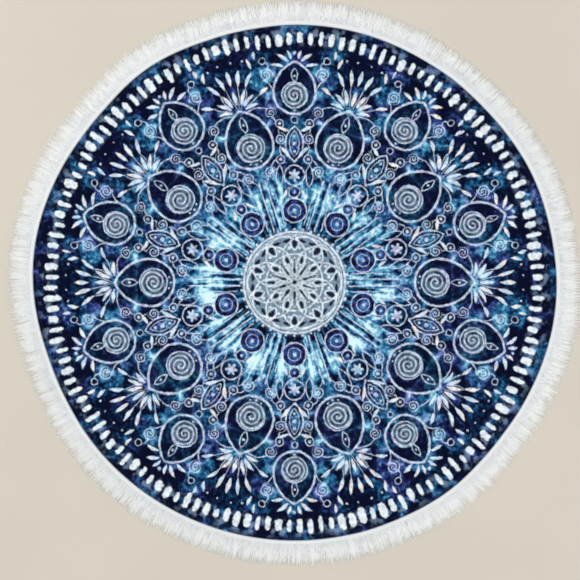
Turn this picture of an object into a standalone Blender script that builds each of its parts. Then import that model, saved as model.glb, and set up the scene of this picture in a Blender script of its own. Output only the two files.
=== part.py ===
"""Round beach towel with a fringed rim, lying open and flat.

Two sewn pieces: the printed cloth disc with its turned hem, and the cotton fringe trim, whose woven heading
runs right round the hem and carries the yarn locks. Metres, +Z up, with the origin on the floor under the
middle of the towel. Angles are in degrees, anticlockwise from +X seen from above.
"""

import math
import random
from typing import NamedTuple

import bmesh
import bpy

# The cloth
CLOTH_RADIUS = 0.6885  # of the disc's plain circle, before its swells and dents
CLOTH_THICK = 0.0020
HEM_WIDTH = 0.012
HEM_THICK = 0.0030  # the turned hem is thicker than the single cloth
HEM_ROUND = 0.0007  # bevel on the hem's two outer edges
CLOTH_SIDES = 144
RING_SHARES = (0.25, 0.45, 0.60, 0.71, 0.80, 0.87, 0.93)  # rings of points, as shares of the radius

# The fringe trim
SEWN_GAP = 0.0005  # between the hem and the heading
HEADING_WIDTH = 0.009
HEADING_THICK = 0.0035
LOCKS = 288
LOCK_PITCH = 360 / LOCKS
LOCK_SHARE = 0.76  # share of a lock's pitch that its root fills
LOCK_LENGTH = 0.052
LOCK_UNEVEN = 0.006  # a lock is up to this much longer or shorter
LOCK_SWAY = 0.0035  # and its tip lies up to this far to one side
SEED = 12

MERGE_DISTANCE = 1e-5
SHARP_ANGLE = 35
CLOTH_COLOUR = (0.035, 0.085, 0.21, 1.0)
COTTON_COLOUR = (0.87, 0.88, 0.88, 1.0)


class Swell(NamedTuple):
    """A stretch where the outline swells out of its circle, or is drawn in."""

    at: float
    spread: float
    out: float


class Ripple(NamedTuple):
    """A low ridge of cloth that runs in from the rim and dies away, leaning round as it goes."""

    at: float
    half_width: float
    height: float
    reach: float
    lean: float


class LockStep(NamedTuple):
    """How far along a lock a step lies, and what is left of its width, height and the rim's lift there."""

    along: float
    width: float
    height: float
    lift: float


SWELLS = (
    Swell(at=356, spread=20, out=0.0110),
    Swell(at=24, spread=12, out=0.0062),
    Swell(at=55, spread=16, out=-0.0028),
    Swell(at=104, spread=12, out=-0.0038),
    Swell(at=124, spread=10, out=0.0044),
    Swell(at=140, spread=8, out=-0.0040),
    Swell(at=173, spread=18, out=0.0110),
    Swell(at=202, spread=13, out=-0.0052),
    Swell(at=306, spread=10, out=0.0032),
    Swell(at=320, spread=8, out=-0.0024),
)
RIPPLES = (
    Ripple(at=52, half_width=7, height=0.0046, reach=0.24, lean=9),
    Ripple(at=104, half_width=6, height=0.0040, reach=0.20, lean=-7),
    Ripple(at=141, half_width=6, height=0.0050, reach=0.26, lean=8),
    Ripple(at=203, half_width=7, height=0.0044, reach=0.22, lean=-8),
    Ripple(at=286, half_width=6, height=0.0036, reach=0.18, lean=7),
    Ripple(at=320, half_width=5, height=0.0034, reach=0.16, lean=-6),
)
LOCK_STEPS = (
    LockStep(along=0.50, width=0.95, height=0.0048, lift=0.3),
    LockStep(along=1.00, width=0.42, height=0.0022, lift=0.0),
)


def turn_between(angle, other):
    """The turn from other to angle, from -180 to 180 degrees."""
    return (angle - other + 180) % 360 - 180


def rim_radius(angle):
    """The cloth's radius in that direction."""
    radius = CLOTH_RADIUS
    for swell in SWELLS:
        radius += swell.out * math.exp(-((turn_between(angle, swell.at) / swell.spread) ** 2))
    return radius


def lift(angle, share):
    """How high the cloth stands off the floor, at that share of its radius."""
    inward = (1 - share) * CLOTH_RADIUS
    height = 0.0
    for ripple in RIPPLES:
        along = inward / ripple.reach
        across = turn_between(angle, ripple.at + ripple.lean * along) / ripple.half_width
        if along < 1 and abs(across) < 1:
            height += ripple.height * math.cos(math.pi / 2 * across) ** 2 * math.cos(math.pi / 2 * along) ** 2
    return height


def angle_of(point):
    """The angle of a point round the Z axis, from 0 to 360 degrees."""
    return math.degrees(math.atan2(point.y, point.x)) % 360


def place(radius, angle, height):
    """The point at that radius and angle."""
    turn = math.radians(angle)
    return (radius * math.cos(turn), radius * math.sin(turn), height)


def fabric(name, colour, roughness):
    """A plain cloth material."""
    material = bpy.data.materials.new(name)
    material.use_nodes = True
    shader = material.node_tree.nodes["Principled BSDF"]
    shader.inputs["Base Color"].default_value = colour
    shader.inputs["Roughness"].default_value = roughness
    shader.inputs["Metallic"].default_value = 0.0
    material.diffuse_color = colour
    return material


def add_node(name, body, material, collection):
    """Makes the finished bmesh a named object with its material."""
    bmesh.ops.recalc_face_normals(body, faces=body.faces)
    mesh = bpy.data.meshes.new(name)
    body.to_mesh(mesh)
    body.free()
    mesh.materials.append(material)
    mesh.shade_smooth()
    mesh.set_sharp_from_angle(angle=math.radians(SHARP_ANGLE))
    node = bpy.data.objects.new(name, mesh)
    collection.objects.link(node)
    return node


def turned(profile, sides, closed=False):
    """A body turned about the Z axis from a profile of (radius, height) points."""
    body = bmesh.new()
    points = [body.verts.new((radius, 0, height)) for radius, height in profile]
    following = points[1:] + points[:1] if closed else points[1:]
    edges = [body.edges.new(pair) for pair in zip(points, following)]
    bmesh.ops.spin(
        body,
        geom=points + edges,
        cent=(0, 0, 0),
        axis=(0, 0, 1),
        angle=2 * math.pi,
        steps=sides,
        use_merge=True,
    )
    bmesh.ops.remove_doubles(body, verts=body.verts, dist=MERGE_DISTANCE)
    return body


def cloth_profile():
    """The disc's section from its middle along the underside, round the hem and back over the top."""
    inner_hem = CLOTH_RADIUS - HEM_WIDTH
    rings = [share * CLOTH_RADIUS for share in RING_SHARES]
    under = [(0, 0)] + [(radius, 0) for radius in rings] + [(inner_hem, 0)]
    hem = [
        (CLOTH_RADIUS - HEM_ROUND, 0),
        (CLOTH_RADIUS, HEM_ROUND),
        (CLOTH_RADIUS, HEM_THICK - HEM_ROUND),
        (CLOTH_RADIUS - HEM_ROUND, HEM_THICK),
        (inner_hem, HEM_THICK),
        (inner_hem - (HEM_THICK - CLOTH_THICK), CLOTH_THICK),
    ]
    top = [(radius, CLOTH_THICK) for radius in reversed(rings)] + [(0, CLOTH_THICK)]
    return under + hem + top


def make_cloth(collection):
    """The printed disc, turned round and then drawn to the towel's own outline and ripples."""
    body = turned(cloth_profile(), CLOTH_SIDES)
    for vert in body.verts:
        angle = angle_of(vert.co)
        share = vert.co.xy.length / CLOTH_RADIUS
        vert.co = place(share * rim_radius(angle), angle, vert.co.z + lift(angle, share))
    return add_node("towel_cloth", body, fabric("printed_cloth", CLOTH_COLOUR, 0.85), collection)


def at_outer_edge(vert):
    """Whether a point of the heading, while it is still a plain ring, is on its outer edge."""
    return vert.co.xy.length > CLOTH_RADIUS + HEADING_WIDTH / 2


def heading_body():
    """The woven heading, turned with two columns of points for each lock, and each lock's root face."""
    outside = SEWN_GAP + HEADING_WIDTH
    section = [(SEWN_GAP, 0), (outside, 0), (outside, HEADING_THICK), (SEWN_GAP, HEADING_THICK)]
    body = turned([(CLOTH_RADIUS + out, height) for out, height in section], 2 * LOCKS, closed=True)
    roots = {}
    for face in body.faces:
        lock, along_pitch = divmod(angle_of(face.calc_center_median()) / LOCK_PITCH, 1)
        if all(at_outer_edge(vert) for vert in face.verts) and along_pitch < 0.5:
            roots[int(lock)] = face
    for vert in body.verts:
        lock, side = divmod(round(angle_of(vert.co) / LOCK_PITCH * 2) % (2 * LOCKS), 2)
        angle = (lock + (side - 0.5) * LOCK_SHARE) * LOCK_PITCH
        out = outside if at_outer_edge(vert) else SEWN_GAP
        vert.co = place(rim_radius(angle) + out, angle, vert.co.z + lift(angle, 1.0))
    return body, roots


def grow_locks(body, roots):
    """Draws each root face out into a lock that lies level on the floor, tapered, uneven and astray."""
    chance = random.Random(SEED)
    for lock in range(LOCKS):
        face = roots[lock]
        angle = lock * LOCK_PITCH
        start = rim_radius(angle) + SEWN_GAP + HEADING_WIDTH
        root_width = start * math.radians(LOCK_PITCH * LOCK_SHARE)
        length = LOCK_LENGTH + chance.uniform(-LOCK_UNEVEN, LOCK_UNEVEN)
        sway = chance.uniform(-LOCK_SWAY, LOCK_SWAY)
        for step in LOCK_STEPS:
            face = bmesh.ops.extrude_discrete_faces(body, faces=[face])["faces"][0]
            radius = start + length * step.along
            floor = lift(angle, 1.0) * step.lift
            upper = sorted(face.verts, key=lambda vert: vert.co.z)[2:]
            for vert in face.verts:
                side = math.copysign(root_width * step.width / 2, turn_between(angle_of(vert.co), angle))
                turn = math.degrees((side + sway * step.along**2) / radius)
                vert.co = place(radius, angle + turn, floor + (step.height if vert in upper else 0))


def make_fringe(collection):
    """The fringe trim: its heading round the hem, with the locks fused to it by their roots."""
    body, roots = heading_body()
    grow_locks(body, roots)
    return add_node("fringe_trim", body, fabric("white_cotton", COTTON_COLOUR, 0.9), collection)


def main():
    for thing in list(bpy.data.objects):
        bpy.data.objects.remove(thing)
    towel = bpy.data.collections.new("Round beach towel")
    bpy.context.scene.collection.children.link(towel)
    make_cloth(towel)
    make_fringe(towel)


main()
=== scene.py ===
import math
from collections import namedtuple

import bmesh
import bpy
import numpy as np
from bpy.props import FloatProperty, FloatVectorProperty, IntProperty, PointerProperty
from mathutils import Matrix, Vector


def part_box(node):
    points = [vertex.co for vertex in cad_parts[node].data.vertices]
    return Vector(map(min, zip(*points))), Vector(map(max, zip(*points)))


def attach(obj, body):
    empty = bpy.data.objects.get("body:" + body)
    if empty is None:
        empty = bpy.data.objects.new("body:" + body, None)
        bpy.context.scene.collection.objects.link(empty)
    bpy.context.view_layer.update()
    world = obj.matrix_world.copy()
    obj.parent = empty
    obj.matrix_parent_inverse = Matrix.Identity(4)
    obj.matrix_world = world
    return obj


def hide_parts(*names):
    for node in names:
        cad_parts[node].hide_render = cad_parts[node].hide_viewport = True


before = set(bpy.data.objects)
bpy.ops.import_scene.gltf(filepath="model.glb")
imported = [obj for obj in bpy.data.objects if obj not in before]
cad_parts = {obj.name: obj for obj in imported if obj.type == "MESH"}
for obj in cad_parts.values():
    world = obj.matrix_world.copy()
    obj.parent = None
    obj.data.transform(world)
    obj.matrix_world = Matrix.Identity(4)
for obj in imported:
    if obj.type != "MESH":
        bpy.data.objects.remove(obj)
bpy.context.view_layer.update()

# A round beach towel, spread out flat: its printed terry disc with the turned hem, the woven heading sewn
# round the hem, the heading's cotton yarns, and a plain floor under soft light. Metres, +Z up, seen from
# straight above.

bl_info = {
    "name": "Round beach towel",
    "version": (1, 0, 0),
    "blender": (4, 5, 0),
    "location": "View3D > Sidebar > Towel",
    "description": "Makes a round printed beach towel with a cotton fringe, spread out flat",
    "category": "Object",
}

BODY = "root"
CLOTH_NODE = "towel_cloth"
TRIM_NODE = "fringe_trim"


def shown(*channels):
    """A colour as a screen shows it, 0 to 255 a channel, as the linear numbers of Blender's colours."""
    return tuple(((c / 255 + 0.055) / 1.055) ** 2.4 if c > 10 else c / 255 / 12.92 for c in channels)


# --- Settings ---


def size_setting(name, description, default):
    """A setting in metres."""
    return FloatProperty(name=name, description=description, default=default, unit="LENGTH")


def colour_setting(name, description, *channels):
    """A colour's setting, given as a screen shows it."""
    default = shown(*channels)
    return FloatVectorProperty(name=name, description=description, default=default, subtype="COLOR")


class ClothShape(bpy.types.PropertyGroup):
    """Sizes of the printed disc and its hem."""

    radius: size_setting("Radius", "The disc's plain circle, before its swells", 0.6885)
    thickness: size_setting("Thickness", "The single cloth's thickness", 0.0020)
    hem_width: size_setting("Hem width", "How far the turned hem reaches in", 0.012)
    hem_thickness: size_setting("Hem thickness", "The turned hem's thickness", 0.0031)
    wave: size_setting("Wave", "Height of the cloth's soft waves", 0.0009)
    sides: IntProperty(name="Sides", description="Steps round the disc", default=540, min=36)


class TrimShape(bpy.types.PropertyGroup):
    """Sizes of the heading and its yarns."""

    gap: size_setting("Gap", "Between the hem and the heading", 0.0005)
    heading_width: size_setting("Heading width", "Width of the woven heading", 0.009)
    heading_thickness: size_setting("Heading thickness", "Thickness of the woven heading", 0.0034)
    yarns: IntProperty(name="Yarns", description="Yarns in a quarter of the fringe", default=4400, min=10)
    yarn_length: size_setting("Yarn length", "From the heading to a yarn's end", 0.050)
    unevenness: size_setting("Unevenness", "How much longer or shorter a yarn may be", 0.012)
    yarn_thickness: size_setting("Yarn thickness", "Thickness of one yarn", 0.0010)
    pile: size_setting("Pile", "How high the yarns lie over each other", 0.0008)
    lean: FloatProperty(
        name="Lean", description="How far a yarn strays sideways, as a share of its length", default=0.12
    )
    wave: size_setting("Wave", "How far a yarn winds to each side", 0.0016)
    seed: IntProperty(name="Seed", description="Draws the yarns' unevenness", default=7)


class SewingShape(bpy.types.PropertyGroup):
    """Sizes of the sewing thread's stitches."""

    thread: size_setting("Thread", "The thread's thickness", 0.0006)
    stitch: size_setting("Stitch", "From one hem stitch to the next", 0.0042)
    zigzag: size_setting("Zigzag", "From one slanted stitch to the next", 0.0026)
    zigzag_width: size_setting("Zigzag width", "How far the zigzag reaches across the joint", 0.0042)


class PrintColours(bpy.types.PropertyGroup):
    """Colours of the print, from its darkest dye to its lines."""

    night: colour_setting("Night", "The darkest dye", 4, 9, 36)
    deep: colour_setting("Deep", "The dark green blue dye", 12, 44, 78)
    azure: colour_setting("Azure", "The middle green blue dye", 40, 106, 150)
    lagoon: colour_setting("Lagoon", "The light green blue dye", 112, 180, 206)
    foam: colour_setting("Foam", "The palest green blue dye", 206, 240, 244)
    ink: colour_setting("Ink", "The dark violet blue dye", 22, 26, 72)
    royal: colour_setting("Royal", "The middle violet blue dye", 50, 72, 136)
    mist: colour_setting("Mist", "The light violet blue dye", 136, 160, 208)
    slate: colour_setting("Slate", "The rosette's ground", 124, 148, 168)
    line: colour_setting("Line", "The white lines", 208, 230, 248)
    lilac: colour_setting("Lilac", "The white lines' other tint", 216, 222, 248)
    blush: colour_setting("Blush", "The leaves' warmer tint", 242, 236, 234)
    chalk: colour_setting("Chalk", "The rosette's lines and the strokes near the rim", 236, 246, 251)


class TowelSettings(bpy.types.PropertyGroup):
    """Everything a user would change."""

    cloth: PointerProperty(type=ClothShape)
    trim: PointerProperty(type=TrimShape)
    sewing: PointerProperty(type=SewingShape)
    colours: PointerProperty(type=PrintColours)
    cotton: colour_setting("Cotton", "The fringe's cotton", 243, 246, 247)
    thread: colour_setting("Thread", "The hem's sewing thread", 16, 24, 62)
    floor: colour_setting("Floor", "The plain floor", 203, 196, 183)


# --- The towel's outline and ripples, the same as in the frame ---


def table(kind, *rows):
    """Things of one kind, from a row of numbers each."""
    return tuple(kind(*row) for row in rows)


# A stretch where the outline swells out of its circle, or is drawn in.
Swell = namedtuple("Swell", "at spread out")
# A low ridge of cloth that runs in from the rim and dies away, leaning round as it goes.
Ripple = namedtuple("Ripple", "at half_width height reach lean")
# A soft wave over the whole cloth: its length in metres, its direction and where it starts.
Wave = namedtuple("Wave", "length heading start")

SWELLS = table(
    Swell,
    (356, 20, 0.0110), (24, 12, 0.0062), (55, 16, -0.0028), (104, 12, -0.0038), (124, 10, 0.0044),
    (140, 8, -0.0040), (173, 18, 0.0110), (202, 13, -0.0052), (306, 10, 0.0032), (320, 8, -0.0024),
)
RIPPLES = table(
    Ripple,
    (52, 7, 0.0046, 0.24, 9), (104, 6, 0.0040, 0.20, -7), (141, 6, 0.0050, 0.26, 8),
    (203, 7, 0.0044, 0.22, -8), (286, 6, 0.0036, 0.18, 7), (320, 5, 0.0034, 0.16, -6),
)
WAVES = table(Wave, (0.31, 24, 0.3), (0.23, 118, 2.1), (0.17, 71, 4.0), (0.12, 163, 5.2))


def turn_between(angle, other):
    """The turn from other to angle, from -180 to 180 degrees."""
    return (angle - other + 180) % 360 - 180


def rim_radius(angle, plain_radius):
    """The cloth's radius in those directions."""
    radius = np.full_like(angle, plain_radius)
    for swell in SWELLS:
        radius += swell.out * np.exp(-((turn_between(angle, swell.at) / swell.spread) ** 2))
    return radius


def lift(angle, inward):
    """How high the cloth stands off the floor, that far in from the plain circle."""
    height = np.zeros_like(angle)
    for ripple in RIPPLES:
        along = inward / ripple.reach
        across = turn_between(angle, ripple.at + ripple.lean * along) / ripple.half_width
        ridge = np.cos(math.pi / 2 * np.clip(across, -1, 1)) ** 2
        height += ripple.height * ridge * np.cos(math.pi / 2 * np.clip(along, 0, 1)) ** 2
    return height


def waves(x, y, height):
    """The cloth's soft waves, which only ever lift it."""
    total = np.zeros_like(x)
    for wave in WAVES:
        heading = math.radians(wave.heading)
        along = x * math.cos(heading) + y * math.sin(heading)
        total += 0.5 + 0.5 * np.sin(math.tau * along / wave.length + wave.start)
    return height * total / len(WAVES)


def points_at(radius, angle, height):
    """Rows of x, y and z from radii, angles in degrees and heights."""
    turn = np.radians(angle)
    return np.stack([radius * np.cos(turn), radius * np.sin(turn), height], 1)


def at_rim(angle, outward, height, plain_radius):
    """Points that far outside the cloth's edge and that high over its underside."""
    radius = rim_radius(angle, plain_radius) + outward
    return points_at(radius, angle, height + lift(angle, np.zeros_like(angle)))


# --- Nodes ---


def arithmetic(operation):
    """An operator of Wire, which adds the Math node of that operation."""
    return lambda wire, other: wire.math(operation, other)


class Wire:
    """A node's output. Arithmetic and comparisons on it add the Math nodes that work them out."""

    def __init__(self, sheet, socket):
        self.sheet = sheet
        self.socket = socket

    def math(self, operation, *others):
        return self.sheet.node("ShaderNodeMath", {"operation": operation}, dict(enumerate((self, *others))))

    def vector(self, operation, *others, scale=None):
        """A Vector Math node on this vector: its number where the operation gives one, or its vector."""
        sockets = dict(enumerate((self, *others)))
        if scale is not None:
            sockets["Scale"] = scale
        output = "Value" if operation in ("DISTANCE", "LENGTH", "DOT_PRODUCT") else "Vector"
        return self.sheet.node("ShaderNodeVectorMath", {"operation": operation}, sockets, output)

    def parts(self):
        """The vector's x, y and z."""
        node = self.sheet.node("ShaderNodeSeparateXYZ", {}, {0: self}).socket.node
        return [Wire(self.sheet, socket) for socket in node.outputs]

    def near(self, target, within):
        """1 where the value lies within that of the target, and 0 elsewhere."""
        return self.math("COMPARE", target, within)

    def fade(self, start, end):
        """From 0 at start to 1 at end, held there beyond them."""
        sockets = {"Value": self, "From Min": start, "From Max": end}
        return self.sheet.node("ShaderNodeMapRange", {"interpolation_type": "SMOOTHSTEP"}, sockets)

    def __rsub__(self, other):
        return self.sheet.node("ShaderNodeMath", {"operation": "SUBTRACT"}, {0: other, 1: self})

    def __abs__(self):
        return self.math("ABSOLUTE")

    __add__ = __radd__ = arithmetic("ADD")
    __sub__ = arithmetic("SUBTRACT")
    __mul__ = __rmul__ = arithmetic("MULTIPLY")
    __truediv__ = arithmetic("DIVIDE")
    __lt__ = arithmetic("LESS_THAN")
    __gt__ = arithmetic("GREATER_THAN")
    __and__ = arithmetic("MINIMUM")
    __or__ = arithmetic("MAXIMUM")


class NodeSheet:
    """A node tree that is being drawn up."""

    def __init__(self, tree):
        self.tree = tree

    def node(self, kind, settings=None, sockets=None, output=0):
        """Adds a node: first its settings, or a ramp's stops, and then its sockets' values or links."""
        node = self.tree.nodes.new(kind)
        for name, value in (settings or {}).items():
            if name == "stops":
                set_stops(node.color_ramp, value)
            else:
                setattr(node, name, value)
        for name, value in (sockets or {}).items():
            if isinstance(value, Wire):
                self.tree.links.new(value.socket, node.inputs[name])
            else:
                node.inputs[name].default_value = value
        return Wire(self, node.outputs[output]) if node.outputs else None

    def mix(self, share, below, above):
        """The colour above over the colour below, by share."""
        sockets = {0: share, 6: opaque(below), 7: opaque(above)}
        return self.node("ShaderNodeMix", {"data_type": "RGBA"}, sockets, 2)

    def blend(self, share, low, high):
        """A number between low and high, by share."""
        return self.node("ShaderNodeMix", {"data_type": "FLOAT"}, {0: share, 2: low, 3: high})

    def noise(self, vector, scale, detail=2.0, roughness=0.5, distortion=0.0, output="Fac"):
        sockets = {"Vector": vector, "Scale": scale, "Detail": detail, "Roughness": roughness}
        sockets["Distortion"] = distortion
        return self.node("ShaderNodeTexNoise", {}, sockets, output)

    def drift(self, vector, scale, detail=1.0, roughness=0.5):
        """A vector that changes at random from place to place, by up to a half each way."""
        drawn = self.noise(vector, scale, detail, roughness, output="Color")
        return drawn.vector("SUBTRACT", (0.5, 0.5, 0.5))

    def combine(self, x, y, z=0.0):
        return self.node("ShaderNodeCombineXYZ", {}, {0: x, 1: y, 2: z})

    def ramp(self, value, stops):
        return self.node("ShaderNodeValToRGB", {"stops": stops}, {0: value})

    def dyed(self, value, colours, dyes):
        """A ramp of the settings' colours, from each dye's place and name."""
        return self.ramp(value, [(place, getattr(colours, name)) for place, name in dyes])


def dimmed(colour, share):
    """The colour with that share of its light."""
    return [share * channel for channel in colour]


def opaque(colour):
    """A colour's three numbers with full alpha, or its wire as it is."""
    return colour if isinstance(colour, Wire) else (*colour[:3], 1.0)


def set_stops(ramp, stops):
    """Gives a colour ramp its stops, each a place from 0 to 1 and a colour, or a lone number for a grey."""
    while len(ramp.elements) < len(stops):
        ramp.elements.new(1.0)
    for element, (place, colour) in zip(ramp.elements, stops):
        element.position = place
        element.color = opaque((colour,) * 3 if isinstance(colour, float) else colour)


class Finish(NodeSheet):
    """A material that is being drawn up, with its one Principled shader."""

    def __init__(self, name, **constants):
        self.material = bpy.data.materials.new(name)
        self.material.use_nodes = True
        super().__init__(self.material.node_tree)
        self.shader = self.tree.nodes["Principled BSDF"]
        for socket, value in constants.items():
            self.shader.inputs[socket.replace("_", " ")].default_value = value

    def place(self):
        """The point on the piece, in metres."""
        return self.node("ShaderNodeTexCoord", {}, {}, "Object")

    def own(self, attribute):
        """A number that the piece's mesh carries."""
        return self.node("ShaderNodeAttribute", {"attribute_name": attribute}, {}, "Fac")

    def feed(self, socket, wire):
        self.tree.links.new(wire.socket, self.shader.inputs[socket])

    def paint(self, colour, shade):
        """Feeds the base colour, made lighter or darker by a number."""
        self.feed("Base Color", colour.vector("SCALE", scale=shade))

    def bump(self, height, distance):
        self.feed("Normal", self.node("ShaderNodeBump", {}, {"Height": height, "Distance": distance}))


class Recipe(NodeSheet):
    """A Geometry Nodes tree that is being drawn up, which works along a path and has named inputs."""

    def __init__(self, name, counts=(), sizes=()):
        super().__init__(bpy.data.node_groups.new(name, "GeometryNodeTree"))
        kinds = {"Path": "NodeSocketGeometry", "Material": "NodeSocketMaterial", "Seed": "NodeSocketInt"}
        kinds |= dict.fromkeys(counts, "NodeSocketInt") | dict.fromkeys(sizes, "NodeSocketFloat")
        face = self.tree.interface
        self.identifiers = {}
        for label, kind in kinds.items():
            self.identifiers[label] = face.new_socket(name=label, in_out="INPUT", socket_type=kind).identifier
        face.new_socket(name="Mesh", in_out="OUTPUT", socket_type="NodeSocketGeometry")
        self.source = self.tree.nodes.new("NodeGroupInput")

    def given(self, label):
        """One of the tree's inputs."""
        return Wire(self, self.source.outputs[label])

    def chance(self, row, number, low=0.0, high=1.0):
        """A random number for each row, of which the seed and a number of its own draw a fixed one."""
        sockets = {2: low, 3: high, "ID": row, "Seed": self.given("Seed") + number}
        return self.node("FunctionNodeRandomValue", {"data_type": "FLOAT"}, sockets, 1)

    def line(self, count):
        """The path as a curve of that many points."""
        curve = self.node("GeometryNodeMeshToCurve", {}, {"Mesh": self.given("Path")})
        return self.node("GeometryNodeResampleCurve", {"mode": "COUNT"}, {"Curve": curve, "Count": count})

    def tube(self, curve, radius, sides, scale=1.0):
        """A round strand along a curve, with its ends closed."""
        circle = {"Resolution": sides, "Radius": radius}
        profile = self.node("GeometryNodeCurvePrimitiveCircle", {}, circle)
        sockets = {"Curve": curve, "Profile Curve": profile, "Scale": scale, "Fill Caps": True}
        return self.node("GeometryNodeCurveToMesh", {}, sockets)

    def finish(self, mesh):
        """Ends the tree: real geometry, shaded smooth, in its material."""
        real = self.node("GeometryNodeRealizeInstances", {}, {"Geometry": mesh})
        smooth = self.node("GeometryNodeSetShadeSmooth", {}, {"Geometry": real})
        sockets = {"Geometry": smooth, "Material": self.given("Material")}
        dressed = self.node("GeometryNodeSetMaterial", {}, sockets)
        out = self.tree.nodes.new("NodeGroupOutput")
        self.tree.links.new(dressed.socket, out.inputs[0])
        return self

    def make(self, path, values):
        """Turns a path's object into the plain mesh that the tree makes along it."""
        modifier = path.modifiers.new(self.tree.name, "NODES")
        modifier.node_group = self.tree
        for label, value in values.items():
            modifier[self.identifiers[label]] = value
        graph = bpy.context.evaluated_depsgraph_get()
        mesh = bpy.data.meshes.new_from_object(path.evaluated_get(graph), depsgraph=graph)
        path.modifiers.remove(modifier)
        path.data = mesh
        return path


# --- The printed medallion ---
# In centimetres, and degrees from an axis, in half a wedge that is mirrored round the towel

WEDGES = 10
HALF = 180 / WEDGES  # degrees
CENTIMETRES = 100  # in a metre
PRINT_RADIUS = 70.0
LOOP_BLUR = 0.95  # scales the noise that shifts the dye from loop to loop
WOBBLE = 0.8  # scales the noise that makes the drawing uneven

# The first two numbers are how far out a motif lies and on which line: its middle, a leaf's root or a stem's
# start. A lean is an angle from the axis, and a line is half the width of one that is drawn.
Ring = namedtuple("Ring", "out turn radius line")
Dot = namedtuple("Dot", "out turn radius")
Petal = namedtuple("Petal", "out turn lean half_length half_width line")  # an outline with two points
Drop = namedtuple("Drop", "out turn lean half_width point line")  # round behind, its point that far ahead
Leaf = namedtuple("Leaf", "out turn lean length half_width bend")  # filled
Stem = namedtuple("Stem", "out turn end_out end_turn bow line")  # an arc that bows that far to its left
Scroll = namedtuple("Scroll", "out turn lean gap reach hand")  # a spiral, turning by hand, 1 or -1
Ray = namedtuple("Ray", "aside line start end")  # straight, beside the axis

ROSETTE_EDGE = 14.0
HOLES = table(
    Leaf,
    (8.9, HALF, HALF, 3.3, 0.66, 0.0), (11.0, 1.4, 84, 2.3, 0.46, 0.3), (8.0, 0, 0, 1.5, 0.46, 0.0),
    (5.2, 0, 0, 2.0, 0.46, 0.0), (5.8, HALF, HALF, 1.2, 0.34, 0.0), (2.0, HALF, HALF, 2.6, 0.22, 0.0),
    (-0.5, 0, 0, 1.0, 0.45, 0.0),
)
ROSETTE_RINGS = table(
    Ring,
    (0, 0, 0.75, 0.09), (0, 0, 13.5, 0.27), (0, 0, 12.75, 0.10), (7.2, 0, 5.3, 0.21),
    (7.2, 2 * HALF, 5.3, 0.21), (7.2, -2 * HALF, 5.3, 0.21), (0, 0, 7.6, 0.20),
)
ROSETTE_PETALS = table(
    Petal,
    (3.8, HALF, HALF, 2.9, 0.74, 0.12), (10.5, HALF, HALF, 2.0, 1.1, 0.19), (6.2, 0, 0, 1.5, 0.85, 0.17),
    (3.1, 0, 0, 2.0, 0.42, 0.10),
)
ROSETTE_DOTS = (Dot(14.2, HALF, 0.34), Dot(14.2, 0, 0.34), Dot(14.2, HALF / 2, 0.34), Dot(9.3, 9, 0.42))
RAYS = (Ray(0.0, 0.10, 0.8, 5.0), Ray(0.9, 0.17, 14.4, 28.2), Ray(2.4, 0.12, 15.2, 24.4))

BEADS = (Dot(19.2, HALF, 3.2), Dot(24.1, HALF, 1.45))
INNER_FRAME = Drop(38.4, 0, 0, 6.3, 9.5, 0.29)
OUTER_FRAME = Drop(50.6, HALF, HALF, 5.6, 8.4, 0.28)
PETALS = table(
    Petal,
    (37.0, HALF, HALF, 4.8, 2.3, 0.18), (37.0, HALF, HALF, 3.5, 1.3, 0.10),
    (28.6, 10.0, 18, 3.0, 0.95, 0.13), (44.0, 0, 0, 2.2, 0.85, 0.13), (55.2, HALF, HALF, 1.9, 0.75, 0.12),
)
RINGS = table(
    Ring,
    (19.2, HALF, 3.2, 0.16), (19.2, HALF, 1.7, 0.10), (24.1, HALF, 1.45, 0.13), (28.6, HALF, 2.7, 0.17),
    (37.6, 0, 3.7, 0.16), (50.0, HALF, 3.4, 0.16), (33.0, 11.6, 1.1, 0.14), (42.6, 12.6, 1.1, 0.14),
    (43.4, HALF, 0.8, 0.12), (59.6, 9.6, 0.85, 0.12),
)
STEMS = table(
    Stem,
    (46.94, 2.3, 46.8, 9.0, -0.8, 0.13), (31.6, 6.8, 33.0, 9.7, -0.3, 0.12),
    (34.0, 12.5, 36.8, 12.4, -0.5, 0.12), (40.1, 12.5, 41.5, 12.6, -0.3, 0.11),
    (43.4, 11.2, 44.4, 9.9, 0.3, 0.12), (50.6, 11.6, 54.6, 8.9, 0.8, 0.13),
    (57.3, 10.9, 59.2, 10.3, 0.4, 0.12), (48.9, 0.4, 54.2, 1.75, 0.15, 0.10),
    (49.3, 2.0, 53.5, 3.75, 0.5, 0.10), (48.8, 3.05, 50.9, 6.9, 0.3, 0.10),
    (26.0, 1.6, 30.6, 9.2, -0.9, 0.11),
)
DISCS = (Dot(37.6, 0, 3.7), Dot(50.0, HALF, 3.4))
DOTS = table(
    Dot,
    (33.0, 11.6, 0.4), (42.6, 12.6, 0.4), (37.0, HALF, 0.55), (39.0, HALF, 0.36), (35.0, HALF, 0.36),
    (44.0, 0, 0.34), (33.0, 0, 0.3), (33.5, 2.6, 0.26), (55.2, HALF, 0.3), (45.9, HALF, 0.28),
    (32.2, HALF, 0.34), (24.1, HALF, 0.34), (19.2, HALF, 0.5), (25.1, 14.4, 0.26), (61.3, HALF, 0.4),
    (60.6, 4.6, 0.3), (61.0, 1.8, 0.24),
)
SCROLLS = table(
    Scroll,
    (30.0, 5.7, 60, 0.78, 1.7, 1), (38.5, 12.4, 100, 0.76, 1.65, -1), (45.6, 10.0, 30, 0.72, 1.55, 1),
    (55.8, 10.2, 20, 0.78, 1.8, 1),
)
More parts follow.
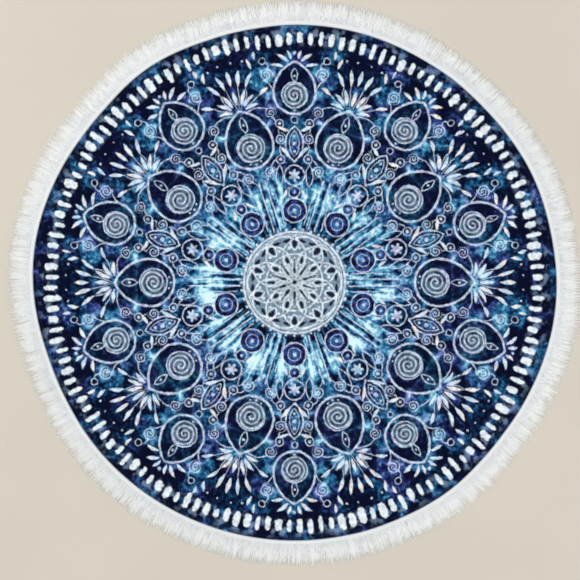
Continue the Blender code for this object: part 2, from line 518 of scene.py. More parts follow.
LEAVES = table(
    Leaf,
    (49.3, 0, 0, 4.2, 0.5, 0.0), (49.2, 1.2, 26, 4.4, 0.5, -0.4), (48.9, 1.9, 54, 4.2, 0.48, -0.5),
    (48.2, 2.1, 84, 3.8, 0.45, -0.6), (54.7, 0, 0, 4.4, 0.52, 0.0), (54.3, 1.8, 17, 4.6, 0.52, -0.3),
    (53.6, 3.7, 37, 4.3, 0.5, -0.4), (51.0, 7.0, 70, 3.3, 0.46, -0.4), (59.5, 17.2, -2, 2.6, 0.4, 0.4),
    (59.1, 16.5, -38, 3.6, 0.48, 0.5), (57.8, 15.1, -62, 3.4, 0.46, 0.5), (33.2, 16.6, -24, 4.2, 0.48, 0.6),
    (40.4, 15.9, -52, 3.2, 0.42, -0.2), (22.6, 10.2, 46, 2.8, 0.4, 0.4), (60.2, 7.6, 12, 2.4, 0.38, -0.3),
    (58.0, 6.6, -10, 3.0, 0.42, 0.3),
)
INNER_SCROLL = Scroll(37.6, 0, 180, 1.24, 3.5, 1)
OUTER_SCROLL = Scroll(50.0, HALF, 180 + HALF, 1.16, 3.2, -1)
ROUNDELS = (Dot(28.6, HALF, 1.25),)
ROUNDEL_PETALS = 6
ROUNDEL_LOBE = 0.34  # how far its petals reach in and out of its circle, as a share of the radius
SCROLL_LINE = 0.17  # half a scroll's line, as a share of the gap between its turns
GLOWS = (Dot(51.0, 0, 5.0), Dot(60.5, HALF, 4.6), Dot(43.0, HALF / 2, 3.4), Dot(56.0, 11, 4.0))

# How light the ground is: a share of the print's radius, and the level on the dyes' scale there
GROUND_LEVELS = (
    (0.20, 0.32), (0.28, 0.36), (0.33, 0.66), (0.37, 0.46), (0.42, 0.25), (0.48, 0.14),
    (0.54, 0.22), (0.66, 0.26), (0.78, 0.21), (0.88, 0.15), (0.93, 0.09), (0.96, 0.16),
)
# Where each dye lies on a scale from the darkest, near 0, to the palest, near 1
GREEN_DYES = ((0.06, "night"), (0.26, "deep"), (0.46, "azure"), (0.68, "lagoon"), (0.92, "foam"))
VIOLET_DYES = ((0.10, "night"), (0.28, "ink"), (0.50, "royal"), (0.74, "mist"), (0.96, "foam"))
BEAD_DYES = ((0.32, "night"), (0.44, "ink"), (0.56, "royal"), (0.66, "azure"), (0.82, "mist"))

DASHES = 144
DASH_MIDDLE = 64.9
DASH_HALF_LENGTH = 1.75
DASH_LENGTHS = (0.7, 1.3)  # the least and the most of that half length
DASH_HALF_WIDTHS = (0.2, 0.4)  # the least and the most, as shares of the dashes' pitch
DASH_STRAY = 0.9  # how far apart, in and out, the dashes' middles may lie


def spot(out, turn):
    """The point that far from the middle, on a line turned that many degrees from the axis."""
    angle = math.radians(turn)
    return (out * math.cos(angle), out * math.sin(angle), 0.0)


def local(point, middle, lean, scale=(1, 1, 1)):
    """The point as a motif sees it, from its own middle, lean and scale."""
    sockets = {0: point, 1: middle, 2: (0, 0, math.radians(lean)), 3: scale}
    return point.sheet.node("ShaderNodeMapping", {"vector_type": "TEXTURE"}, sockets)


def away(point, motif):
    """How far the point lies from the motif's middle."""
    return point.vector("DISTANCE", spot(motif.out, motif.turn))


def ring_line(point, ring):
    return away(point, ring).near(ring.radius, ring.line)


def dot_fill(point, dot):
    return away(point, dot) < dot.radius


def pointed_arc(half_length, half_width):
    """The radius of the arc along a pointed shape's side, and how far past the middle its centre lies."""
    radius = (half_length**2 + half_width**2) / (2 * half_width)
    return radius, radius - half_width


def petal_line(point, petal):
    radius, past = pointed_arc(petal.half_length, petal.half_width)
    side = local(point, spot(petal.out, petal.turn), petal.lean).vector("ABSOLUTE")
    return side.vector("DISTANCE", (0, -past, 0)).near(radius, petal.line)


def drop_field(point, drop):
    """A number that is the drop's half width on its outline and less inside."""
    radius, past = pointed_arc(drop.point, drop.half_width)
    own = local(point, spot(drop.out, drop.turn), drop.lean)
    along = own.parts()[0]
    pointed = own.vector("ABSOLUTE").vector("DISTANCE", (0, -past, 0)) - past
    return point.sheet.blend(along > 0, own.vector("LENGTH"), pointed)


def bead_field(point, beads):
    """How far out in the nearest bead the point lies, from 0 at its middle to 1 on its edge."""
    shares = [away(point, bead) / bead.radius for bead in beads]
    nearest = shares[0]
    for share in shares[1:]:
        nearest = nearest & share
    return nearest


def leaf_fill(point, leaf):
    half = leaf.length / 2
    root = spot(leaf.out, leaf.turn)
    lean = math.radians(leaf.lean)
    middle = (root[0] + half * math.cos(lean), root[1] + half * math.sin(lean), 0)
    along, across, _ = local(point, middle, leaf.lean, (half, leaf.half_width, 1)).parts()
    square = along * along
    bent = square.math("MULTIPLY_ADD", leaf.bend, across)
    return square + abs(bent) < 1


def stem_line(point, stem):
    start, end = np.array(spot(stem.out, stem.turn)), np.array(spot(stem.end_out, stem.end_turn))
    along = (end - start) * math.copysign(1, stem.bow)
    radius, past = pointed_arc(float(np.linalg.norm(along)) / 2, abs(stem.bow))
    own = local(point, (start + end) / 2, math.degrees(math.atan2(along[1], along[0])))
    return own.vector("DISTANCE", (0, -past, 0)).near(radius, stem.line) & (own.parts()[1] > 0)


def scroll_line(point, scroll):
    own = local(point, spot(scroll.out, scroll.turn), scroll.lean, (1, scroll.hand, 1))
    x, y, _ = own.parts()
    out = own.vector("LENGTH")
    winding = y.math("ARCTAN2", x).math("MULTIPLY_ADD", -scroll.gap / math.tau, out)
    return (winding.math("PINGPONG", scroll.gap / 2) < scroll.gap * SCROLL_LINE) & (out < scroll.reach)


def roundel_fill(point, dot):
    x, y, _ = local(point, spot(dot.out, dot.turn), dot.turn).parts()
    out = away(point, dot)
    lobes = (y.math("ARCTAN2", x) * ROUNDEL_PETALS).math("COSINE")
    return out < lobes.math("MULTIPLY_ADD", dot.radius * ROUNDEL_LOBE, dot.radius)


def ray_line(point, ray):
    along, across, _ = point.parts()
    return across.near(ray.aside, ray.line) & along.near((ray.start + ray.end) / 2, (ray.end - ray.start) / 2)


def in_wedge(finish, out, angle, start):
    """The point turned round the middle into the wedge that begins there, and not mirrored."""
    own = angle.math("WRAP", math.radians(start + 2 * HALF), math.radians(start))
    return finish.combine(out * own.math("COSINE"), out * own.math("SINE"))


def all_of(point, draw, motifs, mask=None):
    """The motifs' masks laid over each other, on top of a mask that is there already."""
    for motif in motifs:
        drawn = draw(point, motif)
        mask = drawn if mask is None else mask | drawn
    return mask


def dye_ground(finish, colours, flat, folded, out):
    """The tie-dyed ground: pale streaks round the rosette, then blotches of blue, darkest near the rim."""
    blotch = finish.noise(folded, 0.17, detail=3.0, roughness=0.6, distortion=0.9)
    patch = finish.noise(folded, 0.42, roughness=0.6, distortion=0.5)
    cloud = finish.noise(flat, 0.11, detail=4.0, roughness=0.65, distortion=0.8)
    speck = finish.noise(flat, 0.9, roughness=0.6)
    direction = flat.vector("NORMALIZE").vector("SCALE", scale=15.0)
    drawn = direction.vector("ADD", finish.combine(0.0, 0.0, out * 0.10))
    streak = finish.noise(drawn, 1.0, roughness=0.6)
    level = finish.ramp(out / PRINT_RADIUS, GROUND_LEVELS)
    dye = level + (blotch - 0.5) * 1.4 + (patch - 0.5) * 1.2 + (cloud - 0.5) * 0.9 + (speck - 0.5) * 0.8
    inner = out.fade(13.0, 15.0) * (1 - out.fade(22.0, 34.0))
    dye = dye + (streak - 0.5) * inner * 2.5
    for glow in GLOWS:
        near = 1 - away(folded, glow).fade(0.0, glow.radius)
        dye = dye + near * patch * 0.5
    hue = finish.noise(flat, 0.13, distortion=0.6).fade(0.42, 0.62) * out.fade(16.0, 40.0)
    green, violet = finish.dyed(dye, colours, GREEN_DYES), finish.dyed(dye, colours, VIOLET_DYES)
    ground = finish.mix(hue, green, violet)
    fleck = finish.noise(flat, 1.7, roughness=0.6)
    mottle = speck * 0.5 + fleck * 0.5 + out.fade(0.0, 10.0) * 0.13
    slate = finish.ramp(mottle, [(0.42, dimmed(colours.slate, 0.2)), (0.66, colours.slate)])
    return finish.mix(1 - out.fade(ROSETTE_EDGE - 1.6, ROSETTE_EDGE + 0.8), ground, slate)


def dash_border(finish, flat, out, angle):
    """Short blotchy strokes side by side near the rim, each a little different."""
    count = angle * (DASHES / math.tau)
    number = {"W": count.math("FLOOR")}
    drawn = finish.node("ShaderNodeTexWhiteNoise", {"noise_dimensions": "1D"}, number, "Color")
    wide, long, stray = drawn.parts()
    rough = finish.noise(flat, 1.0, detail=1.0)
    narrow, widest = DASH_HALF_WIDTHS
    short, longest = DASH_LENGTHS
    across = (count.math("FRACT") - 0.5) / (narrow + wide * wide * (widest - narrow))
    inward = out - DASH_MIDDLE + (stray - 0.5) * DASH_STRAY
    along = inward / (DASH_HALF_LENGTH * (short + long * (longest - short)))
    shape = across.math("POWER", 2.0) + along.math("POWER", 4.0) + (rough - 0.5) * 2.2
    return 1 - shape.fade(0.7, 1.3)


def print_colour(finish, colours):
    """The whole print's colour."""
    flat = finish.place().vector("MULTIPLY", (CENTIMETRES, CENTIMETRES, 0))
    flat = flat.vector("ADD", finish.drift(flat, 8.0).vector("MULTIPLY", (LOOP_BLUR, LOOP_BLUR, 0.0)))
    out = flat.vector("LENGTH")
    x, y, _ = flat.parts()
    angle = y.math("ARCTAN2", x)
    fold = angle.math("PINGPONG", math.radians(HALF))
    folded = finish.combine(out * fold.math("COSINE"), out * fold.math("SINE"))
    wobble = finish.drift(flat, 0.45, detail=3.0, roughness=0.62).vector("MULTIPLY", (WOBBLE, WOBBLE, 0.0))
    point = folded.vector("ADD", wobble)

    colour = dye_ground(finish, colours, flat, folded, out)
    colour = finish.mix(all_of(point, leaf_fill, HOLES) * 0.95, colour, colours.night)

    bead = bead_field(point, BEADS)
    inner = drop_field(point, INNER_FRAME)
    outer = drop_field(point, OUTER_FRAME)
    dark = (inner < INNER_FRAME.half_width) | (outer < OUTER_FRAME.half_width)
    colour = finish.mix(dark * 0.56, colour, colours.night)
    haze = finish.noise(flat, 0.55).fade(0.3, 0.62)
    colour = finish.mix(all_of(point, dot_fill, DISCS) * haze * 0.5, colour, colours.slate)
    veins = finish.noise(flat, 0.5, detail=3.0, roughness=0.7) * 1.2
    veins = veins + (1 - bead.fade(0.0, 1.0)) * 0.26 - 0.2
    jewel = finish.dyed(veins, colours, BEAD_DYES)
    colour = finish.mix(bead < 1, colour, jewel)

    white = inner.near(INNER_FRAME.half_width, INNER_FRAME.line)
    white = white | outer.near(OUTER_FRAME.half_width, OUTER_FRAME.line)
    white = all_of(point, ring_line, ROSETTE_RINGS + RINGS, white)
    white = all_of(point, petal_line, ROSETTE_PETALS + PETALS, white)
    white = all_of(point, dot_fill, ROSETTE_DOTS + DOTS, white)
    white = all_of(point, stem_line, STEMS, white)
    white = all_of(point, scroll_line, SCROLLS, white)
    white = white | scroll_line(in_wedge(finish, out, angle, -HALF).vector("ADD", wobble), INNER_SCROLL)
    white = white | scroll_line(in_wedge(finish, out, angle, 0.0).vector("ADD", wobble), OUTER_SCROLL)
    white = all_of(point, ray_line, RAYS, white)
    white = all_of(point, roundel_fill, ROUNDELS, white)
    worn = finish.noise(flat, 0.7, detail=3.0, roughness=0.6).fade(0.36, 0.62)
    tint = finish.mix(finish.noise(flat, 0.21).fade(0.42, 0.6), colours.line, colours.lilac)
    tint = finish.mix(0.8 - out.fade(13.0, 16.0) * 0.8, tint, colours.chalk)
    firm = 0.72 + out.fade(0.0, 9.0) * 0.28
    colour = finish.mix(white * firm * (0.42 + worn * 0.48), colour, tint)
    leaves = all_of(point, leaf_fill, LEAVES)
    warm = finish.noise(flat, 0.3).fade(0.44, 0.6)
    colour = finish.mix(leaves * (0.64 + worn * 0.34), colour, finish.mix(warm, colours.line, colours.blush))
    bled = 1 - abs(out - DASH_MIDDLE - 1.0).fade(1.0, 3.4)
    bled = bled * finish.noise(flat, 0.4).fade(0.5, 0.66) * 0.6
    colour = finish.mix(bled, colour, finish.mix(warm, colours.slate, colours.mist))
    return finish.mix(dash_border(finish, flat, out, angle) * (0.68 + worn * 0.26), colour, colours.chalk)


LOOPS = 720.0  # terry loops in a metre
LOOP_HEIGHT = 0.0003  # metres


def terry_pile(finish):
    """The pile's height, from 0 between the loops to 1 on top of them. Some lie lower than others."""
    place = finish.place()
    bent = place.vector("ADD", finish.drift(place, 90.0).vector("SCALE", scale=0.004))
    sockets = {"Vector": bent, "Scale": LOOPS, "Randomness": 0.75}
    gap = finish.node("ShaderNodeTexVoronoi", {"voronoi_dimensions": "2D"}, sockets, "Distance")
    lying = finish.noise(place, 260.0, roughness=0.6)
    return (1 - gap.fade(0.22, 0.7)) * (0.7 + lying.fade(0.3, 0.7) * 0.3)


def printed_terry(colours):
    """The printed face: short cotton pile, with the dye sunk into it, and painted shade between its loops."""
    finish = Finish("printed_terry", Roughness=0.95, Specular_IOR_Level=0.06)
    pile = terry_pile(finish)
    colour = print_colour(finish, colours)
    # painted shade: the pile's height darkens the print between the loops and on the lower loops
    finish.paint(colour, pile * 0.28 + 0.84)
    finish.bump(pile, LOOP_HEIGHT)
    return finish.material


def plain_back(cotton):
    """The towel's back: unprinted cotton, where a little of the blue has struck through, with painted shade
    between its loops.
    """
    finish = Finish("plain_back", Roughness=0.95, Specular_IOR_Level=0.2, Sheen_Weight=0.1)
    struck = finish.noise(finish.place(), 9.0, detail=3.0).fade(0.45, 0.75)
    pile = terry_pile(finish)
    blued = finish.mix(struck * 0.35, cotton, shown(150, 175, 205))
    # painted shade: the pile's height darkens the cotton between the loops and on the lower loops
    finish.paint(blued, pile * 0.22 + 0.78)
    finish.bump(pile, LOOP_HEIGHT)
    return finish.material


RIBS = 3100  # radial ribs round the woven heading
WARPS = 5  # threads that run along it
WEAVE_HEIGHT = 0.0005
FUZZ_HEIGHT = 0.0003
FIBRE_HEIGHT = 0.0002
YARN_END = (1.0, 0.975, 0.94)  # what is left of the cotton's red, green and blue where it is dullest
COTTON_LOOK = {"Roughness": 0.9, "Specular_IOR_Level": 0.2, "Sheen_Weight": 0.15}


def woven_heading(cotton):
    """The heading: yarns laid across it, crossed by a few threads along it."""
    finish = Finish("woven_heading", **COTTON_LOOK)
    place = finish.place()
    x, y, _ = place.parts()
    ribs = (y.math("ARCTAN2", x) * RIBS).math("SINE")
    across = finish.own("across")
    warps = (across * (math.tau * WARPS)).math("COSINE")
    weave = ribs * warps
    fuzz = finish.noise(place, 900.0)
    # painted shade: the weave term darkens the colour where the ribs and warps lie low
    shade = weave * 0.05 + fuzz * 0.14 + 0.765
    tone = finish.mix(finish.noise(place, 14.0).fade(0.4, 0.7) * 0.5, cotton, dimmed(cotton, 0.93))
    finish.paint(tone, shade)
    finish.bump(weave * 0.3 + fuzz * 0.5, WEAVE_HEIGHT)
    return finish.material


def loose_cotton(cotton):
    """The fringe's yarns: each a little lighter or darker than the next, and duller towards its end, where
    painted light also lifts it against the shade that falls among the yarns' ends.
    """
    finish = Finish("loose_cotton", **COTTON_LOOK)
    fuzz = finish.noise(finish.place(), 1400.0, detail=1.0)
    tip_dulling_and_lift = finish.own("along").fade(0.1, 1.0)
    tone = finish.mix(tip_dulling_and_lift * 0.9, cotton, [c * share for c, share in zip(cotton, YARN_END)])
    # painted light: the last term lifts each yarn towards its end, against the shade that falls among the
    # yarns' ends
    shade = finish.own("yarn") * 0.08 + fuzz * 0.08 + 0.92 + tip_dulling_and_lift * 0.05
    finish.paint(tone, shade)
    finish.bump(fuzz, FUZZ_HEIGHT)
    return finish.material


def sewing_thread(name, colour):
    """Twisted thread, of that colour."""
    finish = Finish(name, Roughness=0.55, Specular_IOR_Level=0.3)
    fibre = finish.noise(finish.place(), 2600.0, detail=1.0)
    finish.feed("Base Color", finish.mix(fibre.fade(0.3, 0.7), dimmed(colour, 0.75), colour))
    finish.bump(fibre, FIBRE_HEIGHT)
    return finish.material


# --- Meshes ---

MERGE_DISTANCE = 1e-6
RIM_STEPS = 2  # points in each degree of a path round the rim


def new_object(name, data):
    thing = bpy.data.objects.new(name, data)
    bpy.context.scene.collection.objects.link(thing)
    return thing


def spun(name, profile, sides, closed=False):
    """A mesh turned about the Z axis from a profile of (radius, height) points."""
    body = bmesh.new()
    points = [body.verts.new((radius, 0, height)) for radius, height in profile]
    following = points[1:] + points[:1] if closed else points[1:]
    edges = [body.edges.new(pair) for pair in zip(points, following)]
    turn = {"cent": (0, 0, 0), "axis": (0, 0, 1), "angle": math.tau, "steps": sides}
    bmesh.ops.spin(body, geom=points + edges, use_merge=True, **turn)
    bmesh.ops.remove_doubles(body, verts=body.verts, dist=MERGE_DISTANCE)
    bmesh.ops.recalc_face_normals(body, faces=body.faces)
    mesh = bpy.data.meshes.new(name)
    body.to_mesh(mesh)
    body.free()
    mesh.shade_smooth()
    return new_object(name, mesh)


def points_of(mesh):
    """The mesh's points, as rows of x, y and z."""
    flat = np.empty(len(mesh.vertices) * 3, np.float32)
    mesh.vertices.foreach_get("co", flat)
    return flat.reshape(-1, 3).astype(float)


def set_points(mesh, points):
    mesh.vertices.foreach_set("co", points.astype(np.float32).ravel())
    mesh.update()


def rim_path(name, cloth, outward, height, start=0.0, end=360.0):
    """A line of points along the rim, from angle to angle, that far outside the edge and that high."""
    closed = end - start >= 360
    steps = round((end - start) * RIM_STEPS)
    angle = np.linspace(start, end, steps, endpoint=not closed)
    mesh = bpy.data.meshes.new(name)
    edges = [(i, (i + 1) % steps) for i in range(steps if closed else steps - 1)]
    mesh.from_pydata(at_rim(angle, outward, height, cloth.radius).tolist(), edges, [])
    return new_object(name, mesh)


def whole_rim(cloth):
    """The cloth's radius at each degree round its edge."""
    return rim_radius(np.arange(360.0), cloth.radius)


def place_in_frame(piece, node):
    """Hangs the piece on the body that carries it, and hides the solid that it stands for."""
    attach(piece, BODY)
    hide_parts(node)


def existing(name):
    """The piece of that name, which an earlier operator has made."""
    piece = bpy.data.objects.get(name)
    if piece is None:
        raise RuntimeError(f"{name} has to be made first")
    return piece


# --- The fringe's heading and its yarns ---

HEADING_SIDES = 960
SECTION_POINTS = 20
SECTION_SQUARENESS = 3.6  # 2 makes the heading's section an ellipse, and more squares it


def heading_section(cloth, trim):
    """The heading's section, a squared oval that stands on the floor beside the hem."""
    half_width, half_height = trim.heading_width / 2, trim.heading_thickness / 2
    middle = cloth.radius + trim.gap + half_width
    for step in range(SECTION_POINTS):
        turn = math.tau * step / SECTION_POINTS
        on_circle = (math.cos(turn), math.sin(turn))
        x, z = (math.copysign(abs(v) ** (2 / SECTION_SQUARENESS), v) for v in on_circle)
        yield middle + half_width * x, half_height * (1 + z)


def make_heading(settings):
    cloth, trim = settings.cloth, settings.trim
    heading = spun("woven_heading", list(heading_section(cloth, trim)), HEADING_SIDES, closed=True)
    points = points_of(heading.data)
    x, y, z = points.T
    outward = np.hypot(x, y) - cloth.radius
    set_points(heading.data, at_rim(np.degrees(np.arctan2(y, x)), outward, z, cloth.radius))
    across = heading.data.attributes.new("across", "FLOAT", "POINT")
    across.data.foreach_set("value", ((outward - trim.gap) / trim.heading_width).astype(np.float32))
    heading.data.materials.append(woven_heading(settings.cotton))
    place_in_frame(heading, TRIM_NODE)


QUARTERS = ("east", "north", "west", "south")
YARN_POINTS = 7
YARN_SIDES = 3
ROOT_OVERLAP = 0.001  # how far inside the heading a yarn starts
YARN_TAPER = 0.35  # how much thinner a yarn is at its end
FALL = 0.45  # how far along itself it has come down to the floor
TUFTS = 42.0  # the scale of the noise that leans neighbouring yarns the same way
TUFT_LEAN = 4.0  # the tufts' part in the lean, beside each yarn's own
SEED_STEP = 10  # more than the numbers that the recipe draws with, so that no two quarters are alike


def yarn_recipe():
    """Yarns side by side along a path, that leave it outwards, fall to the floor and lie there unevenly."""
    sizes = ("Length", "Unevenness", "Thickness", "Pile", "Root spread", "Lean", "Wave")
    yarns = Recipe("loose_yarns", counts=("Yarns",), sizes=sizes)
    roots = yarns.line(yarns.given("Yarns"))
    straight = yarns.node("GeometryNodeCurvePrimitiveLine", {}, {"Start": (0, 0, 0), "End": (1, 0, 0)})
    sockets = {"Curve": straight, "Count": YARN_POINTS}
    strand = yarns.node("GeometryNodeResampleCurve", {"mode": "COUNT"}, sockets)
    x, y, _ = yarns.node("GeometryNodeInputTangent").parts()
    turn = yarns.combine(0.0, 0.0, y.math("ARCTAN2", x) - math.pi / 2)
    turn = yarns.node("FunctionNodeEulerToRotation", {}, {0: turn})
    sockets = {"Points": roots, "Instance": strand, "Rotation": turn, "Scale": yarns.given("Length")}
    laid = yarns.node("GeometryNodeInstanceOnPoints", {}, sockets)
    loose = yarns.node("GeometryNodeRealizeInstances", {}, {"Geometry": laid})

    row = yarns.node("GeometryNodeCurveOfPoint", output="Curve Index")
    along = yarns.node("GeometryNodeSplineParameter", output="Factor")
    outward = yarns.node("GeometryNodeInputTangent")
    here = yarns.node("GeometryNodeInputPosition")
    length = yarns.given("Length")
    root = here.vector("SUBTRACT", outward.vector("SCALE", scale=along * length))
    tuft = yarns.noise(root, TUFTS, detail=1.0) - 0.5
    lean = (yarns.chance(row, 1, -1.0, 1.0) + tuft * TUFT_LEAN) * yarns.given("Lean") * length
    winding = (along * yarns.chance(row, 2, 0.5, 1.3) + yarns.chance(row, 3)) * math.tau
    wave = winding.math("SINE") * yarns.chance(row, 4, 0.2, 1.0) * yarns.given("Wave")
    longer = (yarns.chance(row, 5, -1.0, 1.0) + tuft) * yarns.given("Unevenness")
    layer = yarns.chance(row, 6)
    height = here.parts()[2]
    at_root = height + (layer - 0.5) * yarns.given("Root spread")
    on_floor = yarns.given("Thickness") * 0.5 + layer * yarns.given("Pile")
    settled = yarns.blend(along.fade(0.0, FALL), at_root, on_floor)
    sideways = outward.vector("CROSS_PRODUCT", (0, 0, -1)).vector("SCALE", scale=along * (lean + wave))
    strayed = sideways.vector("ADD", outward.vector("SCALE", scale=along * longer))
    offset = strayed.vector("ADD", yarns.combine(0.0, 0.0, settled - height))
    moved = yarns.node("GeometryNodeSetPosition", {}, {"Geometry": loose, "Offset": offset})
    for name, value in (("yarn", yarns.chance(row, 7)), ("along", along)):
        sockets = {"Geometry": moved, "Name": name, "Value": value}
        moved = yarns.node("GeometryNodeStoreNamedAttribute", {"data_type": "FLOAT"}, sockets)
    taper = 1 - along * along * YARN_TAPER
    return yarns.finish(yarns.tube(moved, yarns.given("Thickness") * 0.5, YARN_SIDES, taper))


def make_fringe(settings):
    cloth, trim = settings.cloth, settings.trim
    recipe = yarn_recipe()
    cotton = loose_cotton(settings.cotton)
    root = trim.gap + trim.heading_width - ROOT_OVERLAP
    for number, side in enumerate(QUARTERS):
        start = 90.0 * number - 45.0
        half_pitch = 45.0 / trim.yarns
        ends = (start + half_pitch, start + 90 - half_pitch)
        path = rim_path(f"fringe_{side}", cloth, root, trim.heading_thickness / 2, *ends)
        values = {
            "Yarns": trim.yarns,
            "Length": trim.yarn_length,
            "Unevenness": trim.unevenness,
            "Thickness": trim.yarn_thickness,
            "Pile": trim.pile,
            "Root spread": trim.heading_thickness - trim.yarn_thickness,
            "Lean": trim.lean,
            "Wave": trim.wave,
            "Seed": trim.seed + SEED_STEP * number,
            "Material": cotton,
        }
        place_in_frame(recipe.make(path, values), TRIM_NODE)


# --- The sewing thread ---

STITCH_COVER = 0.8  # how much of its pitch a hem stitch covers
SEAM_RISE = 0.8  # how high the hem's stitches arch, in thicknesses of the thread
ZIGZAG_RISE = 0.9  # and how high the zigzag's do
ARCH_STEPS = 6
THREAD_SIDES = 4


def stitch_recipe():
    """Arched stitches in a row along a path, each turned by a slant, to one side and the other by turns."""
    row = Recipe("stitch_row", counts=("Stitches",), sizes=("Length", "Slant", "Thread", "Rise"))
    half, rise = row.given("Length") * 0.5, row.given("Rise") * (4 / 3)
    ends = {
        "Resolution": ARCH_STEPS,
        "Start": row.combine(half * -1.0, 0.0),
        "Start Handle": row.combine(half * -0.5, 0.0, rise),
        "End Handle": row.combine(half * 0.5, 0.0, rise),
        "End": row.combine(half, 0.0),
    }
    arch = row.node("GeometryNodeCurvePrimitiveBezierSegment", {}, ends)
    stitch = row.tube(arch, row.given("Thread") * 0.5, THREAD_SIDES)
    x, y, _ = row.node("GeometryNodeInputTangent").parts()
    side = row.node("GeometryNodeInputIndex").math("MODULO", 2.0) * 2.0 - 1.0
    turn = row.combine(0.0, 0.0, y.math("ARCTAN2", x) + side * row.given("Slant"))
    sockets = {"Points": row.line(row.given("Stitches")), "Instance": stitch}
    sockets["Rotation"] = row.node("FunctionNodeEulerToRotation", {}, {0: turn})
    return row.finish(row.node("GeometryNodeInstanceOnPoints", {}, sockets))


def sew(recipe, path, cloth, pitch, values):
    """Stitches along a path. Their number is even, because they lean by turns."""
    length = float(np.mean(whole_rim(cloth))) * math.tau
    return recipe.make(path, {"Stitches": 2 * round(length / pitch / 2), **values})


def make_stitches(settings):
    cloth, trim, sewing = settings.cloth, settings.trim, settings.sewing
    recipe = stitch_recipe()
    dark = sewing_thread("dark_thread", settings.thread)
    white = sewing_thread("white_thread", settings.cotton)

    seam = rim_path("hem_stitches", cloth, -SEAM_INWARD, cloth.hem_thickness * SEAM_HEIGHT)
    values = {"Length": sewing.stitch * STITCH_COVER, "Slant": 0.0, "Thread": sewing.thread}
    values |= {"Rise": sewing.thread * SEAM_RISE, "Material": dark}
    place_in_frame(sew(recipe, seam, cloth, sewing.stitch, values), CLOTH_NODE)

    joint = rim_path("zigzag_stitches", cloth, trim.gap / 2, cloth.hem_thickness)
    forward, across = sewing.zigzag, sewing.zigzag_width
    values = {"Length": math.hypot(forward, across), "Slant": math.atan2(across, forward)}
    values |= {"Thread": sewing.thread, "Rise": sewing.thread * ZIGZAG_RISE, "Material": white}
    place_in_frame(sew(recipe, joint, cloth, forward, values), TRIM_NODE)


# --- The printed cloth ---

SEAM_INWARD = 0.0096  # from the cloth's edge to the hem's stitches
SEAM_HEIGHT = 0.80  # of the hem's thickness, where the stitches draw it down
# Points over the hem: how far in from the edge, and how high as a share of the hem's thickness
HEM_CROWN = ((0.0040, 1.03), (0.0062, 1.0), (0.0080, 0.93), (SEAM_INWARD, SEAM_HEIGHT), (0.0109, 0.88))
# From the hem's inner edge inwards: how far, and how high as a share of the single cloth's thickness
HEM_FOOT = ((0.0, 1.2), (0.0015, 1.0))
PLAIN_TOP = 0.005  # from the hem's inner edge to the first of the top's rings
UNDER_RINGS = 12
OVER_RINGS = 100
EDGE_STEPS = 6  # round the hem's rolled edge
RIM_RISE = 12  # the soft waves rise from nothing at the edge over 1 / 12 of the radius
FACES_DOWN = -0.5  # a face whose normal's z is less is part of the back
FIT = 0.003  # how far the cloth's box may be from its solid's


def cloth_profile(shape):
    """The disc's section: its underside, the hem's rolled edge, crown and stitched dip, and its top."""
    radius, hem, top = shape.radius, shape.hem_thickness, shape.thickness
    inner = radius - shape.hem_width
    under = [(share * inner, 0.0) for share in np.linspace(0, 1, UNDER_RINGS)]
    edge = []
    for step in range(EDGE_STEPS + 1):
        turn = math.pi * (step / EDGE_STEPS - 0.5)
        edge.append((radius + (math.cos(turn) - 1) * hem / 2, hem / 2 * (1 + math.sin(turn))))
    crown = [(radius - back, hem * share) for back, share in HEM_CROWN]
    foot = [(inner - back, top * share) for back, share in HEM_FOOT]
    over = [(radius, top) for radius in np.linspace(inner - PLAIN_TOP, 0, OVER_RINGS)]
    return under + edge + crown + foot + over


def check_place(piece, node):
    """Stops if a piece isn't where its solid is."""
    points = points_of(piece.data)
    for corner, own in zip(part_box(node), (points.min(0), points.max(0))):
        if max(abs(a - b) for a, b in zip(corner, own)) > FIT:
            raise RuntimeError(f"{piece.name} reaches {own.tolist()}, but {node} reaches {list(corner)}")


def make_cloth(settings):
    shape = settings.cloth
    carried = [existing(name) for name in ("woven_heading", "hem_stitches", "zigzag_stitches")]
    carried += [existing(f"fringe_{side}") for side in QUARTERS]
    cloth = spun("cloth_disc", cloth_profile(shape), shape.sides)
    x, y, z = points_of(cloth.data).T
    angle = np.degrees(np.arctan2(y, x))
    share = np.hypot(x, y) / shape.radius
    out = share * rim_radius(angle, shape.radius)
    height = z + lift(angle, (1 - share) * shape.radius)
    risen = np.clip((1 - share) * RIM_RISE, 0, 1)
    height += np.where(z > shape.thickness / 2, waves(x, y, shape.wave) * risen, 0)
    set_points(cloth.data, points_at(out, angle, height))
    cloth.data.materials.append(printed_terry(settings.colours))
    cloth.data.materials.append(plain_back(settings.cotton))
    inner_hem = shape.radius - shape.hem_width
    for face in cloth.data.polygons:
        face.material_index = int(face.normal.z < FACES_DOWN and face.center.length < inner_hem)
    check_place(cloth, CLOTH_NODE)
    place_in_frame(cloth, CLOTH_NODE)
    rim = whole_rim(shape)


# --- The stage ---

PHOTO_SIDE = 580  # pixels; the photo is square
PIXEL = 0.002669  # metres of the towel in a pixel of the photo
TOWEL_MIDDLE = (294.5, 282.5)  # the pixel over the towel's middle
LENS = 70.0
SENSOR = 36.0
FLOOR_LEVEL = -0.0003
FLOOR_RADIUS = 9.0
WORLD_STRENGTH = 0.83
Lamp = namedtuple("Lamp", "name place size power colour")
LAMPS = (
    Lamp("key_light", (-3.0, 2.7, 4.6), 2.6, 118.0, (1.0, 0.99, 0.97)),
    Lamp("fill_light", (3.2, -1.8, 4.4), 3.4, 62.0, (0.97, 0.985, 1.0)),
)


def soft_light(lamp):
    data = bpy.data.lights.new(lamp.name, "AREA")
    data.shape = "DISK"
    data.size = lamp.size
    data.energy = lamp.power
    data.color = lamp.colour
    light = new_object(lamp.name, data)
    light.location = lamp.place
    light.rotation_euler = (-light.location).to_track_quat("-Z", "Y").to_euler()


